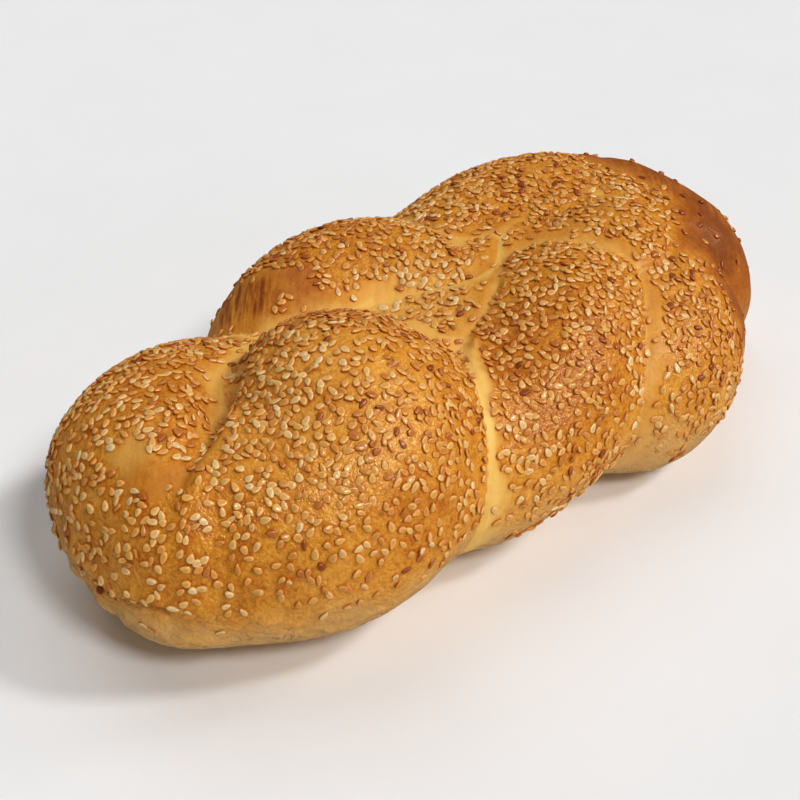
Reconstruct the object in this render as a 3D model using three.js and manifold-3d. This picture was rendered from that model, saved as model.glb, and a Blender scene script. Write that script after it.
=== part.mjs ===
// A plaited sesame loaf: strands of dough laid over each other and baked into one solid.
// Millimetres, +Z up. The loaf lies along X, stands on z = 0, and its box is centred on the origin.
import * as THREE from "three";
import { ConvexGeometry } from "three/addons/geometries/ConvexGeometry.js";
import { mergeVertices } from "three/addons/utils/BufferGeometryUtils.js";
import Module from "manifold-3d";

// Centre line of each strand: control points of a Bezier curve, as x, y, z and the strand's radius there.
const STRANDS = {
  frontRight: [[-97, -16, 34, 32], [-58, -43, 38, 38], [-52, -21, 45, 37]],
  middleRight: [[-18, -38, 31, 26], [14, -44, 33, 27], [37, -27, 48, 28], [38, -14, 39, 27]],
  middleLeft: [[-36, 26, 28, 29], [-14, 43, 38, 32], [8, 47, 38, 32], [25, -4, 33, 28]],
  backArch: [[26, 25, 35, 29], [54, 38, 37, 32], [140, 50, 39, 32], [67, -56, 26, 32], [45, -38, 28, 28]],
  frontLeft: [[-97, -16, 35, 33], [-103, 30, 36, 34], [-41, 16, 23, 29]],
  backEnd: [[96, 17, 30, 32], [94, -5, 28, 36]],
  heart: [[-60, -2, 30, 26], [10, -4, 32, 27], [70, -10, 38, 30]],
};
const LINKS_PER_SPAN = 3;
const BALL_DETAIL = 5;

// Under each strand the dough narrows, and draws in towards the middle, to a foot that the tray pressed flat.
const FOOT_SHARE = 0.55;
const FOOT_SINK = 2;
const FOOT_DRAW_IN = 0.88;
const FOOT_DETAIL = 3;

// The sole closes the underside between the feet: corners of its outline and how far up it reaches.
const SOLE_CORNERS = [[-92, -20], [-58, -36], [48, -38], [92, -14], [96, 20], [20, 38], [-60, 24], [-92, 14]];
const SOLE_HEIGHT = 30;
const SOLE_SINK = 10;
const FLOOR_SIZE = 400;

const CRUST = { color: 0xc07a34, roughness: 0.5, metalness: 0 };

const wasm = await Module();
wasm.setup();

// A closed three.js geometry as a solid that can be joined and cut.
function solid(geometry) {
  geometry.deleteAttribute("normal");
  geometry.deleteAttribute("uv");
  const merged = mergeVertices(geometry);
  return new wasm.Manifold(new wasm.Mesh({
    numProp: 3,
    vertProperties: merged.attributes.position.array,
    triVerts: Uint32Array.from(merged.index.array),
  }));
}

// The point at parameter t of a Bezier curve with any number of control points.
function bezier(points, t) {
  let row = points.map((point) => new THREE.Vector4(...point));
  while (row.length > 1) {
    row = row.slice(1).map((point, i) => row[i].clone().lerp(point, t));
  }
  return row[0];
}

// Points all round a ball.
function ball(x, y, z, radius, detail) {
  const position = new THREE.IcosahedronGeometry(radius, detail).translate(x, y, z).attributes.position;
  return Array.from({ length: position.count }, (_, i) => new THREE.Vector3().fromBufferAttribute(position, i));
}

// A cut through the strand: a ball of dough and the foot below it.
function section({ x, y, z, w: radius }) {
  const footRadius = FOOT_SHARE * radius;
  const foot = ball(x * FOOT_DRAW_IN, y * FOOT_DRAW_IN, footRadius - FOOT_SINK, footRadius, FOOT_DETAIL);
  return [...ball(x, y, z, radius, BALL_DETAIL), ...foot];
}

// One strand: sections along its centre line, each pair joined by the skin stretched over both.
function strand(points) {
  const links = LINKS_PER_SPAN * (points.length - 1);
  const sections = Array.from({ length: links + 1 }, (_, i) => section(bezier(points, i / links)));
  const skins = sections.slice(1).map((next, i) => solid(new ConvexGeometry([...sections[i], ...next])));
  return skins.reduce((whole, skin) => whole.add(skin));
}

function sole() {
  const outline = new THREE.Shape(SOLE_CORNERS.map((corner) => new THREE.Vector2(...corner)));
  const depth = SOLE_HEIGHT + SOLE_SINK;
  return solid(new THREE.ExtrudeGeometry(outline, { depth, bevelEnabled: false }).translate(0, 0, -SOLE_SINK));
}

function floor() {
  return solid(new THREE.BoxGeometry(FLOOR_SIZE, FLOOR_SIZE, FLOOR_SIZE).translate(0, 0, -FLOOR_SIZE / 2));
}

function loaf() {
  const strands = Object.values(STRANDS).map(strand);
  const dough = strands.reduce((whole, piece) => whole.add(piece), sole()).subtract(floor());
  const faces = dough.getMesh();
  const geometry = new THREE.BufferGeometry();
  geometry.setAttribute("position", new THREE.BufferAttribute(faces.vertProperties, 3));
  geometry.setIndex(new THREE.BufferAttribute(faces.triVerts, 1));
  geometry.computeVertexNormals();
  const mesh = new THREE.Mesh(geometry, new THREE.MeshStandardMaterial(CRUST));
  mesh.name = "loaf";
  return mesh;
}

const model = new THREE.Group();
model.add(loaf());
export default model;
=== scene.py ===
# Looks of a plaited sesame loaf: one baked crust over the laid strands, and the seeds strewn on it.
import math

import bpy
import numpy as np
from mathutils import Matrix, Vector, noise
from mathutils.kdtree import KDTree


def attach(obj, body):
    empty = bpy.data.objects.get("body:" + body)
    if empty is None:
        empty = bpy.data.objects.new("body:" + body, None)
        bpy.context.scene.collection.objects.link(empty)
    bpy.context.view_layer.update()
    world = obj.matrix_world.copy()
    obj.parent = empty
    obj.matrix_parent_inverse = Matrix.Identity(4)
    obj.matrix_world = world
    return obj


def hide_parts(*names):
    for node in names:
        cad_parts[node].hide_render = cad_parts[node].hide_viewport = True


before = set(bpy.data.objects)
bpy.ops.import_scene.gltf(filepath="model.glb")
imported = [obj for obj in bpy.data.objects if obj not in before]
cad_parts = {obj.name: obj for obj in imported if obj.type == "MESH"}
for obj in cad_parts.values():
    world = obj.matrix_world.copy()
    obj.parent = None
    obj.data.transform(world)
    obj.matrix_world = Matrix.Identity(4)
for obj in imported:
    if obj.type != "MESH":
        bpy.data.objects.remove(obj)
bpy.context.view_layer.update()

# Sizes are in millimetres, as in the CAD model, until a mesh is made. A pair that a soft change runs
# between is written as (from, to), and a layer of unevenness as (size of the lumps, their height).
MM = 0.001
RANDOM = np.random.default_rng(7)

# Centre line of each strand, uppermost first: Bezier control points as x, y, z and the radius there.
STRANDS = {
    "frontRight": [(-97, -16, 34, 32), (-58, -43, 38, 38), (-52, -21, 45, 37)],
    "middleRight": [(-18, -38, 31, 26), (14, -44, 33, 27), (37, -27, 48, 28), (38, -14, 39, 27)],
    "middleLeft": [(-36, 26, 28, 29), (-14, 43, 38, 32), (8, 47, 38, 32), (25, -4, 33, 28)],
    "backArch": [
        (26, 25, 35, 29), (54, 38, 37, 32), (140, 50, 39, 32), (67, -56, 26, 32), (45, -38, 28, 28),
    ],
    "frontLeft": [(-97, -16, 35, 33), (-103, 30, 36, 34), (-41, 16, 23, 29)],
    "backEnd": [(96, 17, 30, 32), (94, -5, 28, 36)],
    "heart": [(-60, -2, 30, 26), (10, -4, 32, 27), (70, -10, 38, 30)],
}
NAMES = list(STRANDS)
BALLS_PER_SPAN = 14
POINTS_AT_ONCE = 4000
TINY = 1e-6

# Under each strand the dough narrows, and draws in towards the middle, to a foot pressed flat by the tray.
FOOT_SHARE = 0.55
FOOT_SINK = 2
FOOT_DRAW_IN = 0.88
FOOT_STEPS = 5

# Where an upper strand lies over a lower one: how softly they grew together, how deep the seam is cut in,
# and for the lower one's skin, stretched while baking: the width of its bare strip, the width of the pale
# part, how pale that got, and what share of those widths is left at the top of the loaf.
SEAMS = {
    ("frontRight", "middleRight"): (16, 1.0, 8, 7, 1.0, 0.5),
    ("frontRight", "middleLeft"): (8, 0.8, 14, 8, 0.7, 1.0),
    ("frontRight", "frontLeft"): (7, 0.8, 6, 5, 0.6, 1.0),
    ("frontRight", "heart"): (9, 0.6, 6, 7, 0.6, 1.0),
    ("middleRight", "middleLeft"): (14, 0.9, 5, 2.5, 0.4, 1.0),
    ("middleRight", "backArch"): (13, 1.0, 6, 4, 0.25, 1.0),
    ("middleRight", "heart"): (26, 0.5, 6, 2.5, 0.4, 1.0),
    ("middleLeft", "backArch"): (12, 0.6, 2, 2.5, 0.5, 1.0),
    ("middleLeft", "heart"): (16, 0.7, 3, 3, 0.8, 1.0),
    ("middleLeft", "frontLeft"): (5, 0.6, 5, 5, 0.9, 1.0),
    ("backArch", "heart"): (14, 0.0, 0.1, 0.1, 0.0, 1.0),
    ("backArch", "backEnd"): (28, 0.0, 0.1, 0.1, 0.0, 1.0),
}
SEAM_WIDTH = 1.6
TOP_OF_LOAF = (34, 58)

# Softness where no seam is named, how far the ways out of two strands differ in a full valley,
# and the most that the other strands count for in the common way out.
PLAIN_SOFTNESS = 8
FULL_VALLEY = 0.7
FULL_SHARE = 0.7

# Two strands that start as one have no seam where their skins face the same way. The distance from a seam
# follows from how steeply the two skins part, which counts as no less than the least slope.
SAME_WAY = (0.8, 0.97)
LEAST_SLOPE = 0.3

# Edges of strips and patches: the shares of their size between which they fade, and their unevenness.
EDGE_LUMPS = [(8, 0.7), (3, 0.4)]
BARE_STRIP_EDGE = (0.85, 1.15)
PALE_STRIP_EDGE = (0.3, 1.3)
BARE_PATCH_EDGE = (0.8, 1.1)
PALE_PATCH_EDGE = (0.2, 1)
STRETCH_MARK_EDGE = (0.6, 1.4)
STREAKED_EDGE = (0.2, 1)
SOFT_PATCH_EDGE = (0.3, 1)

# Crust mesh, the height under which its sole stays flat and the height over which it moves freely.
CRUST_VOXEL = 1.15
FLAT_UNDER = 1.5
FREE_OVER = 8

# How the mesh is moved onto the strands, and then evened out round the foot and above it.
FIT_ROUNDS = 4
FIT_STEP = 2.5
LEAST_WAY_SQUARED = 0.15
FOOT_EVEN_ROUNDS = 12
EVEN_ROUNDS = 4
EVEN_SHARE = 0.5

# Unevenness of the crust, and places where the dough rose a little more: centre, size and how high.
LUMPS = [(26, 0.8), (9, 0.25), (4, 0.1)]
PUFFS = [((113, 9, 60), 18, 1.3), ((110, 34, 57), 20, 1.2)]

# Folds, as x, y and depth, with how far each slopes out to its right and left, and how high up it starts:
# in the top of the front bend, and where the far end turns under the back arch.
FRONT_FOLD = [
    (-66, 4, 5), (-74, -3, 7), (-84, -11, 7), (-95, -19, 5),
    (-104, -24, 3), (-112, -28, 1.5), (-120, -32, 0),
]
FAR_FOLD = [(87, -29, 0), (94, -36, 2), (99, -41, 4), (105, -47, 5)]
FOLDS = [(FRONT_FOLD, 7, 2, 40), (FAR_FOLD, 8, 8, 12)]
FOLD_FADE = 15
LINE_STEPS = 60

# Stretch mark across the back arch, as x, y and paleness, its width to either side and the least height.
STRETCH_MARK = [(77, 4, 0.4), (73, -8, 0.5), (65, -24, 0.5)]
STRETCH_MARK_WIDTH = 3
STRETCH_MARK_OVER = 50

# The far end of the loaf, past the last seeds, baked bare and brown: where that starts along X, how much
# sooner for each millimetre to the left, and to the right up to a most, and how ragged that edge is.
BROWN_END = 98
BROWN_END_LEFT = 0.15
BROWN_END_RIGHT = 0.55
BROWN_END_MOST = 30
BROWN_END_LUMPS = [(22, 7), (9, 5)]

# Places with hardly any seeds, besides the strips along the seams: centre and size.
BARE_PATCHES = [
    ((-113, -6, 64), 4.5),
    ((-114, -14, 64), 5),
    ((-112, -21, 64), 5),
    ((-107, -24, 65), 5),
    ((-101, -23, 67), 4),
    ((-95, -20, 68), 4),
    ((-67, 9, 62), 4),
    ((-75, 1, 65), 4),
    ((-42, 42, 55), 14),
    ((-46, 51, 48), 14),
    ((-37, 33, 60), 6),
    ((-29, 25, 61), 6),
    ((-29, 32, 62), 7),
    ((25, 16, 65), 4),
    ((17, -4, 64), 6),
]

# Places where the skin stayed pale, besides the strips along the seams: centre, size and paleness.
PALE_PATCHES = [
    ((-54, 18, 59), 10, 0.8),
    ((25, 16, 65), 6, 0.6),
    ((-67, 9, 62), 6, 0.7),
    ((-75, 1, 65), 6, 0.6),
    ((-113, -8, 64), 9, 0.35),
]

# Places darker or lighter than the rest, partly as they baked and partly painted shade and painted
# light: centre, size and by how much.
BAKE_AND_SHADE_PATCHES = [
    ((-39, 44, 57), 15, 0.13),
    ((-30, 30, 62), 16, 0.22),
    ((-4, 2, 60), 26, -0.28),
    ((60, -50, 56), 30, 0.05),
    ((4, -46, 58), 38, 0.16),
    ((32, -30, 70), 30, 0.05),
    ((-4, 40, 66), 36, 0.05),
    ((-65, -35, 72), 45, -0.09),
    ((-36, -8, 78), 22, 0.14),
    ((-68, -16, 78), 24, -0.04),
    ((100, -27, 56), 18, 0.13),
    ((88, -46, 50), 13, 0.14),
    ((-112, -44, 46), 30, 0.09),
    ((-111, -17, 64), 18, 0.1),
    ((-92, 12, 66), 24, 0.06),
    ((-58, -66, 52), 24, 0.13),
]

# How brown the crust baked: low down, how much more on top, at the far end and where it is streaked.
BAKE_LOW = 0.42
BAKE_TOP = 0.16
BAKE_HEIGHTS = (10, 60)
BAKE_END = 0.32
BAKE_END_PAST = (-10, 14)
BAKE_STREAKED = 0.25
BAKE_STREAKED_OVER = 0.4

# Bareness of the far end, and how far past the last seeds it comes in.
END_BARE = 0.7
END_BARE_PAST = (-5, 3)

# Where the skin is streaked by stretching: centre, size and strength, how much bare skin is, and the ways
# across and down the streaks.
STREAKED_PATCHES = [((-41, 42, 56), 18, 1.0), ((114, 0, 42), 40, 0.6)]
STREAKED_LUMPS = [(9, 5)]
STREAKED_BARE = 0.15
STREAK_ACROSS = (0.76, -0.65, 0)
STREAK_DOWN = (0.05, 0.06, 0.1)

# The paler foot all round, less pale at the far end, with hairline cracks near the front.
FOOT_HEIGHTS = (16, 38)
FOOT_LUMPS = [(12, 8)]
FOOT_PALENESS = 0.7
FOOT_END_BROWNER = 0.5
FOOT_END_X = (BROWN_END - 20, BROWN_END)
CRACKED = 0.8
CRACKED_LUMPS = [(22, 1)]
CRACKED_OVER = (0, 0.3)
CRACKED_BEFORE_X = -40

# Lip along the foot of the front bend, where the upper crust hangs over the paler foot: the centre that
# its run is told by, in degrees from +X, its height, where it opens and closes, and how open it is.
LIP_CENTRE = (-97, -16)
LIP_HEIGHT = 36
LIP_HEIGHT_LUMPS = [(11, 3.5), (4, 1.4)]
LIP_OPENS = (150, 165)
LIP_CLOSES = (213, 238)
LIP_CLOSES_X = (-75, -65)
LIP_OPEN = 0.95
LIP_OPEN_LUMPS = [(8, 1.1)]

# The crack under the lip, how far the foot draws in below it and how far the crust bulges above it.
CRACK_DEPTH = 2.6
CRACK_WIDTH = 1.5
CRACK_BELOW = 1
TUCK = 1.8
TUCK_UPPER_EDGE = (-1.2, 0)
TUCK_LOWER_EDGE = (-18, 0)
BULGE = 1.2
BULGE_ABOVE = 3
BULGE_WIDTH = 3

# Crumbly skin on the foot below the lip.
CRUMBS = [(6, 0.7), (3.5, 0.6)]
CRUMBS_UPPER_EDGE = (-4, 0)
CRUMBS_LOWER_EDGE = (-26, -18)
CRUMBS_END_X = (-90, -60)

# A seed: its size, how far it sinks in, how much slimmer its pointed end is, and where its top lies.
# Its rings run from the top to the rim: share of the outline, share of the rise and nearness to the rim.
SEED_LENGTH = 3.05
SEED_WIDTH = 1.9
SEED_RISE = 0.6
SEED_SINK = 0.3
SEED_TAPER = 0.32
SEED_TOP_BACK = 0.1
SEED_TOP_RISE = 1.02
SEED_RINGS = [(0.45, 1.0, 0.1), (0.75, 0.88, 0.3), (0.95, 0.5, 0.65), (1.04, 0.04, 1.0)]
SEED_SEGMENTS = 12

# How the seeds differ in length, width and rise, and how far they tilt.
SEED_SPREAD = (0.1, 0.13, 0.15)
SEED_TILT = 0.17

# How thick the seeds lie: how many are tried, how far apart they stay, the share that sticks on upright
# skin, and how much more on the right side and on level skin.
SEEDS_TRIED = 44000
SEED_SPACING = 1.75
STICK = 0.27
STICK_RIGHT = 0.1
STICK_TOP = 0.53
LEVEL_SKIN = (0.1, 0.95)

# Between which heights they thin out, how much lower that is on the right, and where that side begins.
STICK_HEIGHTS = (26, 40)
STICK_HEIGHT_LUMPS = [(15, 8)]
RIGHT_LOWER = 12
RIGHT_X = (-40, -10)
RIGHT_Y = (0, 25)

# Where fewer stick: on bare skin, past the last seeds and on the front, and how patchy they lie.
FEWER_BARE = 0.94
FEWER_END = 0.96
FEWER_END_PAST = (-9, 4)
FEWER_FRONT = 0.15
FEWER_FRONT_X = (-118, -88)
PATCHY = 0.72
PATCHY_LUMPS = [(12, 0.3), (4.5, 0.55)]

# How toasted the seeds are, from 0 to 1: on the whole, how much they differ, the few dark ones, how much
# they follow the crust's patches of bake and painted shade, and the paler ones on the front and the
# browner ones at the far end.
TONE = 0.4
TONE_LUMPS = [(30, 0.25)]
TONE_SPREAD = 0.17
TONE_DARK = 0.4
TONE_DARK_SHARE = 0.06
TONE_BAKE_AND_SHADE = 0.7
TONE_FRONT = 0.08
TONE_FRONT_X = (-115, -75)
TONE_END = 0.4
TONE_END_PAST = (-6, 8)

# The seed pieces, from light to dark, and the tone that each ends at.
LIGHTEST_TONE = -1
SEED_KINDS = {"seeds_cream": 0.3, "seeds_tan": 0.5, "seeds_golden": 0.76, "seeds_toasted": 2.0}

# Colours as red, green and blue up to 255. The crust's go by how brown it is, from its bake and
# painted shade, the seeds' by their tone.
CRUST_COLOURS = [
    (0.0, (250, 204, 112)),
    (0.3, (241, 171, 72)),
    (0.55, (222, 145, 42)),
    (0.8, (186, 101, 20)),
    (1.0, (138, 66, 12)),
]
# Egg wash browned round the seeds, with painted contact shade there.
STAIN_AND_SHADE_COLOUR = (180, 86, 12)
FOOT_COLOUR = (224, 180, 114)
PALE_COLOUR = (247, 196, 98)
CRACK_COLOUR = (160, 100, 44)
SEED_COLOURS = [
    (0.0, (250, 222, 164)),
    (0.35, (242, 184, 98)),
    (0.65, (224, 152, 68)),
    (0.9, (184, 102, 40)),
    (1.0, (156, 80, 32)),
]
FLOOR_COLOURS = [(0, (244, 244, 244)), (1, (248, 248, 248))]
BACKDROP_COLOUR = (238, 238, 238)

# What the seed colours are multiplied by, from the seed's top to its rim: painted shade, a little at the
# top so that the ring round it reads as a painted highlight, and much darker at the rim by the crust.
SEED_PAINTED_SHADING = [
    (0.0, (0.8, 0.68, 0.5, 1)),
    (0.3, (1.0, 1.0, 1.0, 1)),
    (0.65, (0.84, 0.6, 0.3, 1)),
    (1.0, (0.58, 0.27, 0.06, 1)),
]

# Grain of the crust: size of its marks and how much they brown it, what is taken off the brown all over,
# and how much less marked bare skin is.
MOTTLE = 9
MOTTLE_BROWN = 0.36
SPOTS = 2.6
SPOTS_BROWN = 0.5
GRIT = 1.0
GRIT_BROWN = 0.5
STREAKS = 1.6
STREAKS_BROWN = 2.0
LESS_BROWN = -0.2
BARE_SMOOTHER = -0.7

# Stains that the seeds leave round them, egg wash browned there together with painted contact shade, in
# dabs, with how strong a stain is at two values of their noise, and the lines along which the foot cracked.
STAIN_AND_SHADE_REACH = (1.0, 2.0)
DABS = 5
DAB_STRENGTHS = [(0.4, 0.2), (0.65, 0.9)]
CRACK_LINES = 18
CRACK_LINE_WIDTH = 0.012

# Gloss of the egg-washed crust, in patches and less on bare skin, its tint, and the relief of its grain.
ROUGH = 0.1
ROUGH_PATCHES = 5
ROUGH_PATCHES_MORE = 0.3
ROUGH_BARE_MORE = 0.22
CRUST_SPECULAR = 0.55
WARM_GLOSS = (1.0, 0.88, 0.6, 1)
SPOTS_RELIEF = 1.5
CRACK_RELIEF = -1.0
RELIEF_STRENGTH = 0.8
RELIEF_DEPTH = 0.5

# Gloss of the seeds and the floor, and the size of the floor's speckles.
SEED_ROUGH = 0.22
SEED_SPECULAR = 0.6
FLOOR_ROUGH = 0.9
FLOOR_SPECKLE = 40

# Stage, and the light that comes from everywhere.
FLOOR_SIZE = 12000
BACKDROP_RADIUS = 7000
WORLD_STRENGTH = 0.08

# Far broad lights: azimuth, elevation, strength, width in degrees and whether the gloss mirrors them.
LIGHTS = {
    "key": (-44, 48, 1.05, 9, True),
    "front": (-92, 50, 1.2, 12, True),
    "right": (-20, 34, 0.25, 10, True),
    "top": (75, 65, 0.75, 50, False),
    "side": (-70, 6, 0.52, 40, False),
}

# Camera, from the photograph: what it looks at, from how far and along which way, the nearest it sees,
# and its focal length in pixels of a picture that is so many pixels wide.
CAMERA_AIM = (-17.9, -6.05, 34.0)
CAMERA_DISTANCE = 450
CAMERA_AZIMUTH = 49.7
CAMERA_ELEVATION = 37.5
CAMERA_NEAREST = 10
FOCAL_PIXELS = 1470
IMAGE_PIXELS = 800


def smooth(low, high, value):
    """0 below low, 1 above high, and an even rise between."""
    t = np.clip((value - low) / (high - low), 0, 1)
    return t * t * (3 - 2 * t)


def within(reach, size, edge):
    """1 inside that size and 0 outside, fading between the two shares of it that the edge gives."""
    return 1 - smooth(edge[0] * size, edge[1] * size, reach)


def srgb(red, green, blue):
    """A colour as seen on screen, 0 to 255, as the linear colour that the shaders take."""
    def linear(part):
        part = part / 255
        return part / 12.92 if part <= 0.04045 else ((part + 0.055) / 1.055) ** 2.4
    return (linear(red), linear(green), linear(blue), 1)


def grey(value):
    """A linear grey, 0 to 1."""
    return (value, value, value, 1)


def heading(azimuth, elevation):
    """The unit vector that points that way: azimuth from +X towards +Y, elevation up from level."""
    a = math.radians(azimuth)
    e = math.radians(elevation)
    return Vector((math.cos(a) * math.cos(e), math.sin(a) * math.cos(e), math.sin(e)))


# Strands as balls

def bezier(points, t):
    """Points on a Bezier curve with any number of control points, at each parameter in t."""
    row = np.array(points, float)[:, None, :] + np.zeros((1, len(t), 1))
    while len(row) > 1:
        row = row[:-1] + (row[1:] - row[:-1]) * t[:, None]
    return row[0]


def strand_balls(points):
    """Balls that fill one strand, x, y, z and radius: along its centre line and down to its foot."""
    line = bezier(points, np.linspace(0, 1, BALLS_PER_SPAN * (len(points) - 1) + 1))
    foot = line * (FOOT_DRAW_IN, FOOT_DRAW_IN, 0, FOOT_SHARE)
    foot[:, 2] = foot[:, 3] - FOOT_SINK
    return np.concatenate([line + (foot - line) * step for step in np.linspace(0, 1, FOOT_STEPS)])


BALLS = [strand_balls(points) for points in STRANDS.values()]


def strand_gaps(points):
    """How far each point is outside each strand, and the way out of that strand there."""
    gaps = np.empty((len(points), len(BALLS)))
    ways = np.empty((len(points), len(BALLS), 3))
    for start in range(0, len(points), POINTS_AT_ONCE):
        part = points[start:start + POINTS_AT_ONCE]
        rows = np.arange(len(part))
        for k, balls in enumerate(BALLS):
            away = part[:, None, :] - balls[None, :, :3]
            far = np.sqrt((away * away).sum(2))
            near = (far - balls[:, 3]).argmin(1)
            reach = far[rows, near]
            gaps[start:start + len(part), k] = reach - balls[near, 3]
            ways[start:start + len(part), k] = away[rows, near] / np.maximum(reach, TINY)[:, None]
    return gaps, ways


def softness_table():
    """How softly each two strands run together, by their numbers."""
    table = np.full((len(NAMES), len(NAMES)), float(PLAIN_SOFTNESS))
    for (upper, lower), (softness, *_) in SEAMS.items():
        table[NAMES.index(upper), NAMES.index(lower)] = softness
        table[NAMES.index(lower), NAMES.index(upper)] = softness
    return table


SOFTNESS = softness_table()


def blended(gaps, ways):
    """The strands run together softly: distance to the common skin and its way out."""
    rows = np.arange(len(gaps))
    first = gaps.argmin(1)
    nearest = gaps[rows, first]
    softness = SOFTNESS[first]
    overlap = np.maximum(softness - (gaps - nearest[:, None]), 0)
    valley = np.minimum((1 - (ways * ways[rows, first][:, None, :]).sum(2)) / FULL_VALLEY, 1)
    fill = valley * overlap ** 2 / (4 * softness)
    fill[rows, first] = 0
    share = valley * overlap / (2 * softness)
    share[rows, first] = 0
    share /= np.maximum(share.sum(1) / FULL_SHARE, 1)[:, None]
    way = (1 - share.sum(1))[:, None] * ways[rows, first] + (share[:, :, None] * ways).sum(1)
    return nearest - fill.sum(1), way


# Crust

def crust_mesh():
    """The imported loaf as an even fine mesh, in a new object."""
    crust = bpy.data.objects.new("crust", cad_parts["loaf"].data.copy())
    bpy.context.scene.collection.objects.link(crust)
    remesh = crust.modifiers.new("even", "REMESH")
    remesh.mode = "VOXEL"
    remesh.voxel_size = CRUST_VOXEL * MM
    shaped = bpy.data.meshes.new_from_object(crust.evaluated_get(bpy.context.evaluated_depsgraph_get()))
    crust.modifiers.clear()
    crust.data = shaped
    crust.data.name = "crust"
    return crust


def read_points(mesh):
    """A mesh's points in millimetres."""
    flat = np.empty(len(mesh.vertices) * 3)
    mesh.vertices.foreach_get("co", flat)
    return flat.reshape(-1, 3) / MM


def write_points(mesh, points):
    """Moves a mesh's points to those places in millimetres."""
    mesh.vertices.foreach_set("co", (points * MM).ravel())
    mesh.update()


def read_normals(mesh):
    """The way out of a mesh at each of its points."""
    flat = np.empty(len(mesh.vertices) * 3)
    mesh.vertices.foreach_get("normal", flat)
    return flat.reshape(-1, 3)


def neighbour_mean(mesh, values):
    """For each vertex, the mean of the values at the vertices that it shares an edge with."""
    ends = np.empty(len(mesh.edges) * 2, int)
    mesh.edges.foreach_get("vertices", ends)
    one, two = ends.reshape(-1, 2).T
    total = np.zeros_like(values)
    np.add.at(total, one, values[two])
    np.add.at(total, two, values[one])
    count = np.bincount(ends, minlength=len(values))
    return total / count[:, None]


def lumps_at(points, layers):
    """Uneven rise, the same each run: a sum of soft noise layers, each with a size and a height."""
    total = np.zeros(len(points))
    for size, height in layers:
        total += height * np.array([noise.noise(Vector(p)) for p in points / size])
    return total


def distance_to(points, place):
    """How far each point is from one place."""
    return np.linalg.norm(points - place, axis=1)


def patches_at(points, patches):
    """The sum at each point of soft round patches, each with a centre, a size and a value."""
    total = np.zeros(len(points))
    for place, size, value in patches:
        total += value * within(distance_to(points, place), size, SOFT_PATCH_EDGE)
    return total


def near_line(points, line):
    """How far each point is to the left of a line seen from above, and the line's third value there."""
    line = np.array(line, float)
    steps = np.linspace(0, len(line) - 1, LINE_STEPS)
    line = np.stack([np.interp(steps, np.arange(len(line)), column) for column in line.T], axis=1)
    away = points[:, None, :2] - line[None, :, :2]
    near = np.linalg.norm(away, axis=2).argmin(1)
    away = away[np.arange(len(points)), near]
    run = np.gradient(line, axis=0)[near]
    side = np.sign(run[:, 0] * away[:, 1] - run[:, 1] * away[:, 0])
    return side * np.linalg.norm(away, axis=1), line[near, 2]


def fold_cut(points):
    """How deep the folds are."""
    total = np.zeros(len(points))
    for line, right, left, start in FOLDS:
        reach, depth = near_line(points, line)
        width = np.where(reach > 0, left, right)
        total += depth * np.exp(-(reach / width) ** 2) * smooth(start, start + FOLD_FADE, points[:, 2])
    return total


def past_seeds(points):
    """How far each point is past the last seeds, towards the bare far end."""
    x, y = points[:, 0], points[:, 1]
    sooner = BROWN_END_LEFT * np.maximum(y, 0) + BROWN_END_RIGHT * np.clip(-y, 0, BROWN_END_MOST)
    return x - BROWN_END + sooner + lumps_at(points, BROWN_END_LUMPS)


def lip_place(points):
    """How far each point is above the lip at the foot of the front bend, and how open that is there."""
    x, y, z = points.T
    turn = np.degrees(np.arctan2(y - LIP_CENTRE[1], x - LIP_CENTRE[0])) % 360
    above = z - LIP_HEIGHT + lumps_at(points, LIP_HEIGHT_LUMPS)
    open_share = smooth(*LIP_OPENS, turn) * (1 - smooth(*LIP_CLOSES, turn))
    open_share *= np.clip(LIP_OPEN + lumps_at(points, LIP_OPEN_LUMPS), 0, 1)
    open_share *= 1 - smooth(*LIP_CLOSES_X, x)
    return above, open_share


def lip_cut(points):
    """How deep the lip is cut into the crust."""
    above, open_share = lip_place(points)
    crack = CRACK_DEPTH * np.exp(-((above + CRACK_BELOW) / CRACK_WIDTH) ** 2)
    tuck = TUCK * (1 - smooth(*TUCK_UPPER_EDGE, above)) * smooth(*TUCK_LOWER_EDGE, above)
    bulge = BULGE * np.exp(-((above - BULGE_ABOVE) / BULGE_WIDTH) ** 2)
    crumbs = lumps_at(points, CRUMBS) * (1 - smooth(*CRUMBS_UPPER_EDGE, above))
    crumbs *= smooth(*CRUMBS_LOWER_EDGE, above)
    crumbs *= 1 - smooth(*CRUMBS_END_X, points[:, 0])
    return open_share * (crack + tuck - bulge) + crumbs


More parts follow.
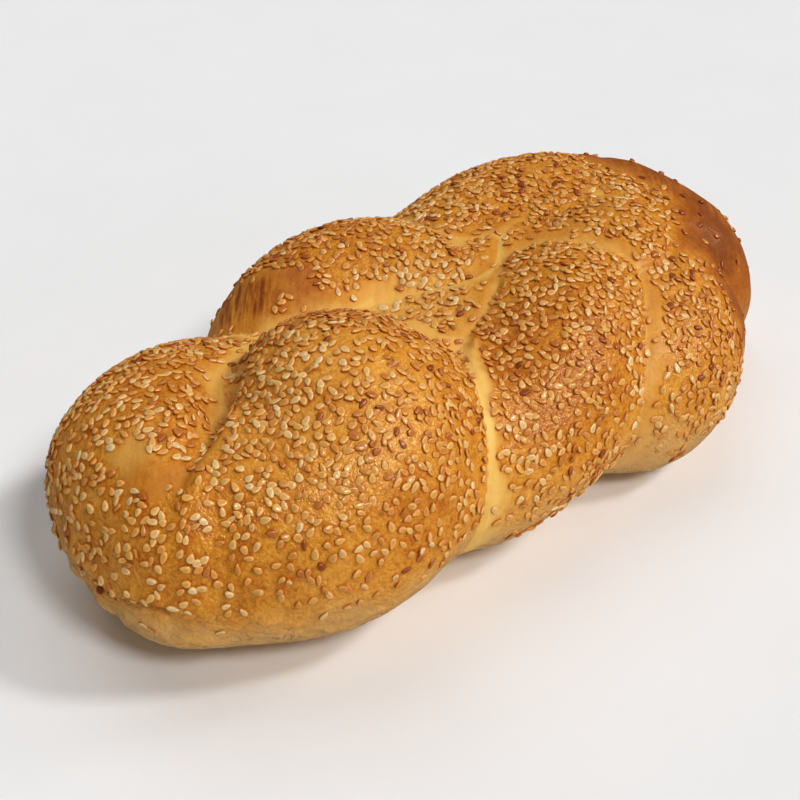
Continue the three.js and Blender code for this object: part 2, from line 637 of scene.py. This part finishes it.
def skin_state(points):
    """What the oven did to the skin at each point: how bare it is, how pale, and how deep a seam."""
    gaps, ways = strand_gaps(points)
    owner = gaps.argmin(1)
    uneven = 1 + lumps_at(points, EDGE_LUMPS)
    high = smooth(*TOP_OF_LOAF, points[:, 2])
    bare = np.zeros(len(points))
    pale = np.zeros(len(points))
    seam = np.zeros(len(points))
    for (upper, lower), (_, depth, bare_width, pale_width, paleness, top_share) in SEAMS.items():
        over = NAMES.index(upper)
        under = NAMES.index(lower)
        folded = 1
        if STRANDS[upper][0][:2] == STRANDS[lower][0][:2]:
            folded = 1 - smooth(*SAME_WAY, (ways[:, over] * ways[:, under]).sum(1))
        level = gaps[:, over] - gaps[:, under]
        slope = np.maximum(np.linalg.norm(ways[:, over] - ways[:, under], axis=1), LEAST_SLOPE)
        reach = level / slope / (uneven * (1 - (1 - top_share) * high))
        beside = folded * (owner == under)
        bare = np.maximum(bare, beside * within(reach, bare_width, BARE_STRIP_EDGE))
        pale = np.maximum(pale, beside * paleness * within(reach, pale_width, PALE_STRIP_EDGE))
        met = folded * ((owner == under) | (owner == over))
        seam = np.maximum(seam, met * depth * np.exp(-(level / SEAM_WIDTH) ** 2))
    for place, size in BARE_PATCHES:
        reach = distance_to(points, place) / uneven
        bare = np.maximum(bare, within(reach, size, BARE_PATCH_EDGE))
    for place, size, paleness in PALE_PATCHES:
        reach = distance_to(points, place) / uneven
        pale = np.maximum(pale, paleness * within(reach, size, PALE_PATCH_EDGE))
    reach, paleness = near_line(points, STRETCH_MARK)
    on_arch = (owner == NAMES.index("backArch")) * (points[:, 2] > STRETCH_MARK_OVER)
    mark = on_arch * within(abs(reach) / uneven, STRETCH_MARK_WIDTH, STRETCH_MARK_EDGE)
    bare = np.maximum(bare, mark)
    pale = np.maximum(pale, mark * paleness)
    return {"bare": bare, "pale": pale, "seam": seam}


def shape_crust(crust):
    """Moves the fine mesh onto the round strands, keeps the sole flat and adds the unevenness."""
    mesh = crust.data
    points = read_points(mesh)
    free = smooth(FLAT_UNDER, FREE_OVER, points[:, 2])[:, None]
    for _ in range(FIT_ROUNDS):
        distance, way = blended(*strand_gaps(points))
        size = np.maximum((way * way).sum(1), LEAST_WAY_SQUARED)
        step = np.clip(distance / size, -FIT_STEP, FIT_STEP)
        points -= free * way * step[:, None]
    for _ in range(FOOT_EVEN_ROUNDS):
        settled = neighbour_mean(mesh, points)
        settled[:, 2] = np.where(points[:, 2] < FLAT_UNDER, points[:, 2], settled[:, 2])
        points += EVEN_SHARE * (1 - free) * (settled - points)
    for _ in range(EVEN_ROUNDS):
        points += EVEN_SHARE * free * (neighbour_mean(mesh, points) - points)
    write_points(mesh, points)
    normals = read_normals(mesh)
    rise = lumps_at(points, LUMPS) - skin_state(points)["seam"] - lip_cut(points) - fold_cut(points)
    rise += patches_at(points, PUFFS)
    points += free * normals * rise[:, None]
    points[:, 2] = np.maximum(points[:, 2], 0)
    write_points(mesh, points)
    mesh.shade_smooth()


def nearest_seed(points, places):
    """How far each point is from the nearest seed."""
    tree = KDTree(len(places))
    for k, place in enumerate(places):
        tree.insert(place, k)
    tree.balance()
    return np.array([tree.find(p)[2] for p in points])


def crust_values(points, seed_places):
    """What the crust's material needs to know at each point, by name."""
    x, _, z = points.T
    state = skin_state(points)
    past = past_seeds(points)
    streaked = STREAKED_BARE * state["bare"]
    ragged = lumps_at(points, STREAKED_LUMPS)
    for place, size, strength in STREAKED_PATCHES:
        patch = within(distance_to(points, place) + ragged, size, STREAKED_EDGE)
        streaked = np.maximum(streaked, strength * patch)
    bake_and_painted_shade = BAKE_LOW + BAKE_TOP * smooth(*BAKE_HEIGHTS, z)
    bake_and_painted_shade += BAKE_END * smooth(*BAKE_END_PAST, past)
    # Patches partly baked browner or paler, partly painted shade and painted light.
    bake_and_painted_shade += patches_at(points, BAKE_AND_SHADE_PATCHES)
    bake_and_painted_shade += BAKE_STREAKED * np.maximum(streaked - BAKE_STREAKED_OVER, 0)
    foot = 1 - smooth(*FOOT_HEIGHTS, z + lumps_at(points, FOOT_LUMPS))
    foot *= 1 - FOOT_END_BROWNER * smooth(*FOOT_END_X, x)
    cracked = CRACKED * foot * smooth(*CRACKED_OVER, lumps_at(points, CRACKED_LUMPS))
    return {
        "foot": FOOT_PALENESS * foot,
        "cracked": cracked * (x < CRACKED_BEFORE_X),
        "bare": np.maximum(state["bare"], END_BARE * smooth(*END_BARE_PAST, past)),
        "streaked": streaked,
        "bake_and_painted_shade": bake_and_painted_shade,
        "pale": state["pale"],
        # Browned egg wash and painted contact shade round the seeds.
        "stain_and_shade": 1 - smooth(*STAIN_AND_SHADE_REACH, nearest_seed(points, seed_places)),
    }


def add_values(mesh, name, values):
    """Gives each point of a mesh a number under that name, for its material."""
    mesh.attributes.new(name, "FLOAT", "POINT").data.foreach_set("value", values.astype(np.float32))


# Seeds

def stick_share(points, normals):
    """Share of the seeds tried at each point that stick there."""
    x, y, z = points.T
    right = smooth(*RIGHT_X, x) * smooth(*RIGHT_Y, -y)
    keep = STICK + STICK_RIGHT * right + STICK_TOP * smooth(*LEVEL_SKIN, normals[:, 2])
    keep *= smooth(*STICK_HEIGHTS, z + RIGHT_LOWER * right + lumps_at(points, STICK_HEIGHT_LUMPS))
    keep *= 1 - FEWER_BARE * skin_state(points)["bare"]
    keep *= 1 - FEWER_END * smooth(*FEWER_END_PAST, past_seeds(points))
    keep *= 1 - FEWER_FRONT * (1 - smooth(*FEWER_FRONT_X, x))
    keep *= PATCHY + lumps_at(points, PATCHY_LUMPS)
    return keep


def strew(crust):
    """Random places for seeds on the crust: points and the way up at each."""
    mesh = crust.data
    mesh.calc_loop_triangles()
    corners = np.empty(len(mesh.loop_triangles) * 3, int)
    mesh.loop_triangles.foreach_get("vertices", corners)
    corners = corners.reshape(-1, 3)
    points = read_points(mesh)
    normals = read_normals(mesh)
    a, b, c = (points[corners[:, k]] for k in range(3))
    area = np.linalg.norm(np.cross(b - a, c - a), axis=1)
    chosen = RANDOM.choice(len(corners), SEEDS_TRIED, p=area / area.sum())
    share = RANDOM.dirichlet((1, 1, 1), SEEDS_TRIED)[:, :, None]
    places = (points[corners[chosen]] * share).sum(1)
    ups = (normals[corners[chosen]] * share).sum(1)
    ups /= np.linalg.norm(ups, axis=1, keepdims=True)
    stuck = RANDOM.random(SEEDS_TRIED) < stick_share(places, ups)
    return apart(places[stuck], ups[stuck])


def apart(places, ups):
    """Leaves out each place that is too near one already taken."""
    taken = {}
    kept = []
    for k, place in enumerate(places):
        cell = tuple(np.floor(place / SEED_SPACING).astype(int))
        near = [
            other
            for dx in (-1, 0, 1)
            for dy in (-1, 0, 1)
            for dz in (-1, 0, 1)
            for other in taken.get((cell[0] + dx, cell[1] + dy, cell[2] + dz), ())
        ]
        if all(((place - other) ** 2).sum() > SEED_SPACING ** 2 for other in near):
            taken.setdefault(cell, []).append(place)
            kept.append(k)
    return places[kept], ups[kept]


def seed_tones(places):
    """How toasted the seed at each place is, and the painted shade it takes from the crust's patches."""
    count = len(places)
    tones = TONE + lumps_at(places, TONE_LUMPS) + RANDOM.normal(scale=TONE_SPREAD, size=count)
    dark = RANDOM.random(count) < TONE_DARK_SHARE
    # The crust's patches of bake and painted shade carry over to the seeds.
    tones += TONE_DARK * dark + TONE_BAKE_AND_SHADE * patches_at(places, BAKE_AND_SHADE_PATCHES)
    tones -= TONE_FRONT * (1 - smooth(*TONE_FRONT_X, places[:, 0]))
    tones += TONE_END * smooth(*TONE_END_PAST, past_seeds(places))
    return tones


def seed_template():
    """One seed lying flat, pointed end along +X: points, triangles and each point's nearness to the rim."""
    turn = np.linspace(0, 2 * np.pi, SEED_SEGMENTS, endpoint=False)
    outline = np.stack([
        SEED_LENGTH / 2 * np.cos(turn),
        SEED_WIDTH / 2 * np.sin(turn) * (1 - SEED_TAPER * np.cos(turn)),
    ], axis=1)
    points = [(-SEED_TOP_BACK * SEED_LENGTH, 0, SEED_TOP_RISE * SEED_RISE)]
    rim = [0.0]
    for scale, height, edge in SEED_RINGS:
        points += [(x * scale, y * scale, height * SEED_RISE) for x, y in outline]
        rim += [edge] * SEED_SEGMENTS
    points.append((0, 0, -SEED_SINK))
    rim.append(1.0)
    last = len(points) - 1
    last_ring = 1 + (len(SEED_RINGS) - 1) * SEED_SEGMENTS
    triangles = []
    for k in range(SEED_SEGMENTS):
        n = (k + 1) % SEED_SEGMENTS
        triangles.append((0, 1 + k, 1 + n))
        for inner in range(1, last_ring, SEED_SEGMENTS):
            outer = inner + SEED_SEGMENTS
            triangles.append((inner + k, outer + k, outer + n))
            triangles.append((inner + k, outer + n, inner + n))
        triangles.append((last_ring + k, last, last_ring + n))
    return np.array(points), np.array(triangles), np.array(rim)


def seeds_piece(name, places, ups, tones):
    """All seeds of one kind as one mesh, each turned its own way and a little different in size."""
    shape, triangles, rim = seed_template()
    count = len(places)
    side = np.cross(ups, RANDOM.normal(size=(count, 3)))
    side /= np.linalg.norm(side, axis=1, keepdims=True)
    ups = ups + RANDOM.normal(scale=SEED_TILT, size=(count, 3))
    ups /= np.linalg.norm(ups, axis=1, keepdims=True)
    along = np.cross(side, ups)
    along /= np.linalg.norm(along, axis=1, keepdims=True)
    side = np.cross(ups, along)
    local = shape[None] * RANDOM.normal((1, 1, 1), SEED_SPREAD, (count, 3))[:, None, :]
    points = (
        places[:, None, :]
        + local[:, :, :1] * along[:, None, :]
        + local[:, :, 1:2] * side[:, None, :]
        + local[:, :, 2:] * ups[:, None, :]
    )
    faces = triangles[None] + (np.arange(count) * len(shape))[:, None, None]
    mesh = bpy.data.meshes.new(name)
    mesh.from_pydata((points.reshape(-1, 3) * MM).tolist(), [], faces.reshape(-1, 3).tolist())
    mesh.shade_smooth()
    add_values(mesh, "tone", np.repeat(tones, len(shape)))
    add_values(mesh, "rim", np.tile(rim, count))
    piece = bpy.data.objects.new(name, mesh)
    bpy.context.scene.collection.objects.link(piece)
    return piece


# Materials

class Nodes:
    """A short way to add and join shader nodes."""

    def __init__(self, name):
        self.material = bpy.data.materials.new(name)
        self.material.use_nodes = True
        self.tree = self.material.node_tree
        self.shader = self.tree.nodes["Principled BSDF"]

    def add(self, kind, inputs=None, **settings):
        """A new node of that kind, with its inputs fed by name or number."""
        node = self.tree.nodes.new(kind)
        for key, value in settings.items():
            setattr(node, key, value)
        for key, value in (inputs or {}).items():
            self.feed(node.inputs[key], value)
        return node

    def feed(self, socket, value):
        """Joins a socket to another node's output, or sets it to a value."""
        if isinstance(value, bpy.types.NodeSocket):
            self.tree.links.new(value, socket)
        else:
            socket.default_value = value

    def attribute(self, name):
        """The number that the mesh holds under that name."""
        return self.add("ShaderNodeAttribute", attribute_name=name).outputs["Fac"]

    def place(self):
        """The place on the object."""
        return self.add("ShaderNodeTexCoord").outputs["Object"]

    def grain(self, place, size, detail=2.0, roughness=0.5):
        """Soft noise from 0 to 1 with features of that many millimetres."""
        inputs = {"Vector": place, "Scale": 1 / (size * MM), "Detail": detail, "Roughness": roughness}
        return self.add("ShaderNodeTexNoise", inputs).outputs["Fac"]

    def off_middle(self, value):
        """How far noise from 0 to 1 is above its middle."""
        return self.maths("SUBTRACT", value, 0.5)

    def dot(self, vector, way):
        """How far a vector reaches along a way."""
        node = self.add("ShaderNodeVectorMath", {0: vector, 1: way}, operation="DOT_PRODUCT")
        return node.outputs["Value"]

    def maths(self, operation, first, second=0.0, third=0.0):
        """The result of a sum on numbers."""
        node = self.add("ShaderNodeMath", operation=operation)
        for socket, value in zip(node.inputs, (first, second, third)):
            self.feed(socket, value)
        return node.outputs[0]

    def ramp(self, value, stops):
        """The colour that a number from 0 to 1 stands for, between the stops given."""
        node = self.add("ShaderNodeValToRGB", {"Fac": value})
        elements = node.color_ramp.elements
        while len(elements) < len(stops):
            elements.new(0.5)
        for element, (position, colour) in zip(elements, stops):
            element.position = position
            element.color = colour
        return node.outputs["Color"]

    def screen_ramp(self, value, stops):
        """The same, with the colours given as seen on screen."""
        return self.ramp(value, [(position, srgb(*colour)) for position, colour in stops])

    def mix(self, share, first, second, blend="MIX"):
        """Two colours mixed by a share of the second."""
        node = self.add("ShaderNodeMix", data_type="RGBA", blend_type=blend)
        self.feed(node.inputs[0], share)
        self.feed(node.inputs[6], first)
        self.feed(node.inputs[7], second)
        return node.outputs[2]


def crust_material():
    """Egg-washed crust: golden to brown as it baked, with painted shade in patches and round the seeds,
    cream where it was stretched.
    """
    n = Nodes("crust")
    place = n.place()
    marked = n.maths("MULTIPLY_ADD", n.attribute("bare"), BARE_SMOOTHER, 1.0)
    spots = n.maths("MULTIPLY", n.off_middle(n.grain(place, SPOTS, detail=3, roughness=0.6)), marked)
    grit = n.maths("MULTIPLY", n.off_middle(n.grain(place, GRIT, detail=1)), marked)
    across = n.dot(place, STREAK_ACROSS)
    down = n.dot(place, STREAK_DOWN)
    run = n.add("ShaderNodeCombineXYZ", {"X": across, "Y": down}).outputs["Vector"]
    streaks = n.off_middle(n.grain(run, STREAKS, detail=3, roughness=0.6))
    streaked = n.maths("MULTIPLY", n.attribute("streaked"), STREAKS_BROWN)
    mottle = n.grain(place, MOTTLE, detail=3)
    # The bake value holds painted shade and painted light as well, in patches.
    brown = n.maths("MULTIPLY_ADD", mottle, MOTTLE_BROWN, n.attribute("bake_and_painted_shade"))
    brown = n.maths("MULTIPLY_ADD", spots, SPOTS_BROWN, brown)
    brown = n.maths("MULTIPLY_ADD", grit, GRIT_BROWN, brown)
    brown = n.maths("MULTIPLY_ADD", streaks, streaked, brown)
    brown = n.maths("ADD", brown, LESS_BROWN)
    colour = n.screen_ramp(brown, CRUST_COLOURS)
    dabs = n.grain(place, DABS, detail=3, roughness=0.6)
    dabs = n.ramp(dabs, [(value, grey(strength)) for value, strength in DAB_STRENGTHS])
    # Browned egg wash and painted contact shade round the seeds, in dabs.
    colour = n.mix(n.maths("MULTIPLY", n.attribute("stain_and_shade"), dabs), colour, srgb(*STAIN_AND_SHADE_COLOUR))
    colour = n.mix(n.attribute("foot"), colour, srgb(*FOOT_COLOUR))
    colour = n.mix(n.attribute("pale"), colour, srgb(*PALE_COLOUR))
    lines = n.off_middle(n.grain(place, CRACK_LINES, detail=4, roughness=0.6))
    beside_line = n.maths("ABSOLUTE", lines)
    cracks = n.ramp(beside_line, [(0.0, grey(1)), (CRACK_LINE_WIDTH, grey(0))])
    cracks = n.maths("MULTIPLY", cracks, n.attribute("cracked"))
    colour = n.mix(cracks, colour, srgb(*CRACK_COLOUR))
    n.feed(n.shader.inputs["Base Color"], colour)
    rough = n.maths("MULTIPLY_ADD", n.grain(place, ROUGH_PATCHES), ROUGH_PATCHES_MORE, ROUGH)
    rough = n.maths("MULTIPLY_ADD", n.attribute("bare"), ROUGH_BARE_MORE, rough)
    n.feed(n.shader.inputs["Roughness"], rough)
    n.shader.inputs["Specular IOR Level"].default_value = CRUST_SPECULAR
    n.shader.inputs["Specular Tint"].default_value = WARM_GLOSS
    relief = n.maths("MULTIPLY_ADD", spots, SPOTS_RELIEF, grit)
    relief = n.maths("MULTIPLY_ADD", cracks, CRACK_RELIEF, relief)
    depth = {"Height": relief, "Strength": RELIEF_STRENGTH, "Distance": RELIEF_DEPTH * MM}
    n.feed(n.shader.inputs["Normal"], n.add("ShaderNodeBump", depth).outputs["Normal"])
    return n.material


def seed_material():
    """Sesame: a satin hull, cream to toasted, with painted shade at its top and rim round a painted
    highlight ring.
    """
    n = Nodes("sesame")
    colour = n.screen_ramp(n.attribute("tone"), SEED_COLOURS)
    # Painted shade over each seed, darkest at its rim, round a lighter ring for a painted highlight.
    painted_shade = n.ramp(n.attribute("rim"), SEED_PAINTED_SHADING)
    n.feed(n.shader.inputs["Base Color"], n.mix(1.0, colour, painted_shade, "MULTIPLY"))
    n.shader.inputs["Roughness"].default_value = SEED_ROUGH
    n.shader.inputs["Specular IOR Level"].default_value = SEED_SPECULAR
    return n.material


def floor_material():
    """Plain matt white, hardly speckled."""
    n = Nodes("floor")
    speckle = n.grain(n.place(), FLOOR_SPECKLE)
    n.feed(n.shader.inputs["Base Color"], n.screen_ramp(speckle, FLOOR_COLOURS))
    n.shader.inputs["Roughness"].default_value = FLOOR_ROUGH
    return n.material


def backdrop_material():
    """An even pale glow."""
    n = Nodes("backdrop")
    n.shader.inputs["Base Color"].default_value = grey(0)
    n.shader.inputs["Emission Color"].default_value = srgb(*BACKDROP_COLOUR)
    n.shader.inputs["Emission Strength"].default_value = 1.0
    return n.material


# Making the pieces

crust = crust_mesh()
shape_crust(crust)
seed_places, seed_ups = strew(crust)
for value_name, values in crust_values(read_points(crust.data), seed_places).items():
    add_values(crust.data, value_name, values)
crust.data.materials.clear()
crust.data.materials.append(crust_material())
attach(crust, "root")
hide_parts("loaf")

tones = seed_tones(seed_places)
lightest = LIGHTEST_TONE
for kind, darkest in SEED_KINDS.items():
    mine = (tones >= lightest) & (tones < darkest)
    seeds = seeds_piece(kind, seed_places[mine], seed_ups[mine], tones[mine])
    seeds.data.materials.append(seed_material())
    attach(seeds, "root")
    lightest = darkest

# Stage, light and camera

bpy.ops.mesh.primitive_plane_add(size=FLOOR_SIZE * MM, location=(0, 0, 0))
floor = bpy.context.object
floor.name = "floor"
floor.data.materials.append(floor_material())
floor.visible_glossy = False

# The backdrop is only for the eye: it neither lights the loaf nor shades it.
bpy.ops.mesh.primitive_uv_sphere_add(radius=BACKDROP_RADIUS * MM, location=(0, 0, 0))
backdrop = bpy.context.object
backdrop.name = "backdrop"
backdrop.data.materials.append(backdrop_material())
backdrop.visible_diffuse = False
backdrop.visible_glossy = False
backdrop.visible_shadow = False

scene = bpy.context.scene
scene.view_settings.view_transform = "Standard"
world = bpy.data.worlds.new("studio")
world.use_nodes = True
world.node_tree.nodes["Background"].inputs["Color"].default_value = grey(1)
world.node_tree.nodes["Background"].inputs["Strength"].default_value = WORLD_STRENGTH
scene.world = world

for light_name, (azimuth, elevation, strength, width, mirrored) in LIGHTS.items():
    light = bpy.data.lights.new(light_name, "SUN")
    light.energy = strength
    light.angle = math.radians(width)
    lamp = bpy.data.objects.new(light_name, light)
    lamp.rotation_euler = heading(azimuth, elevation).to_track_quat("Z", "Y").to_euler()
    lamp.visible_glossy = mirrored
    scene.collection.objects.link(lamp)

camera = bpy.data.objects.new("camera", bpy.data.cameras.new("camera"))
scene.collection.objects.link(camera)
camera.data.lens = camera.data.sensor_width * FOCAL_PIXELS / IMAGE_PIXELS
camera_back = heading(CAMERA_AZIMUTH + 180, CAMERA_ELEVATION)
camera.location = (Vector(CAMERA_AIM) + CAMERA_DISTANCE * camera_back) * MM
camera.rotation_euler = camera_back.to_track_quat("Z", "Y").to_euler()
camera.data.clip_start = CAMERA_NEAREST * MM
scene.camera = camera
